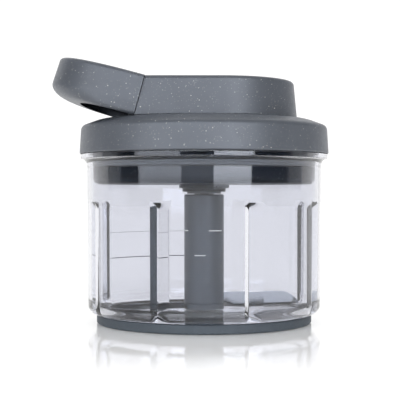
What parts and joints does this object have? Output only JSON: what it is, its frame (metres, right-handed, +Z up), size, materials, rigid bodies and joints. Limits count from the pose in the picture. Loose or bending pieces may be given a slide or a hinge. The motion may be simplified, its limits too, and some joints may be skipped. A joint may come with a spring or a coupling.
{
  "type": "pull cord food chopper",
  "caption": "Hand food chopper with a clear ribbed bowl, a lift-out blade rotor and a lid whose raised handle pulls a sprung cord to spin the blades.",
  "frame": {"origin": "centre of the underside of the anti-slip base, on the axis of the blades", "axes": "+Z up along the blade axis; the pull handle points to -X, raised 15 degrees; the picture looks along +Y"},
  "size_m": [0.1493, 0.135, 0.1422],
  "materials": {
    "speckled_plastic": "fine satin moulding with light mineral specks",
    "clear_plastic": "polished clear moulding with a faint violet grey tint",
    "silicone": "soft matte",
    "shaft_plastic": "fine satin moulding",
    "steel": "bright turned steel",
    "blade_steel": "fine ground with a polished edge",
    "acetal": "plain off-white moulding",
    "cord_yarn": "braided polyester cord"
  },
  "bodies": {
    "bowl": {"anti_slip_base": "silicone", "bowl": "clear_plastic", "pivot_pin": "steel"},
    "sleeve": {"pivot_sleeve": "acetal"},
    "rotor": {"blade_shaft": "shaft_plastic", "lower_blade": "blade_steel", "upper_blade": "blade_steel"},
    "lid": {"lid_shell": "speckled_plastic", "lid_plug": "speckled_plastic", "lid_seal": "silicone", "lower_bush": "acetal", "upper_bush": "acetal", "housing_cover": "speckled_plastic", "cord_eyelet": "acetal", "spring_arbor": "steel", "plug_screw_1": "steel", "plug_screw_2": "steel", "plug_screw_3": "steel", "plug_screw_4": "steel", "cover_screw_1": "steel", "cover_screw_2": "steel", "cover_screw_3": "steel"},
    "reel": {"cord_reel": "acetal", "reel_cap": "acetal", "drive_shaft": "shaft_plastic", "shaft_clip": "steel", "cord_inner_layers": "cord_yarn", "cord_winding": "cord_yarn", "recoil_spring": "steel"},
    "handle": {"handle_shell": "speckled_plastic", "knot_washer": "steel", "cord_knot": "cord_yarn", "cord_tail": "cord_yarn"}
  },
  "joints": [
    {"name": "lid_lift", "type": "slide", "parent": "bowl", "child": "lid", "axis": [0, 0, 1], "range_m": [0, 0.15]},
    {"name": "blade_lift", "type": "slide", "parent": "bowl", "child": "sleeve", "axis": [0, 0, 1], "range_m": [0, 0.091]},
    {"name": "blade_spin", "type": "hinge", "parent": "sleeve", "child": "rotor", "pos_m": [0, 0, 0], "axis": [0, 0, 1], "range_deg": [0, 820]},
    {"name": "reel_turn", "type": "hinge", "parent": "lid", "child": "reel", "pos_m": [0, 0, 0], "axis": [0, 0, 1], "range_deg": [0, 820], "deforming": ["recoil_spring"]},
    {"name": "handle_pull", "type": "slide", "parent": "lid", "child": "handle", "axis": [-0.9659, 0, 0.2588], "range_m": [0, 0.3], "stiffness_N_per_m": 15, "springref_m": -0.25, "deforming": ["cord_tail"]}
  ],
  "couplings": [
    {"joint": "blade_lift", "follows": "lid_lift", "ratio": 0.6},
    {"joint": "blade_spin", "follows": "handle_pull", "rad_per_m": 47.619},
    {"joint": "reel_turn", "follows": "handle_pull", "rad_per_m": 47.619}
  ]
}
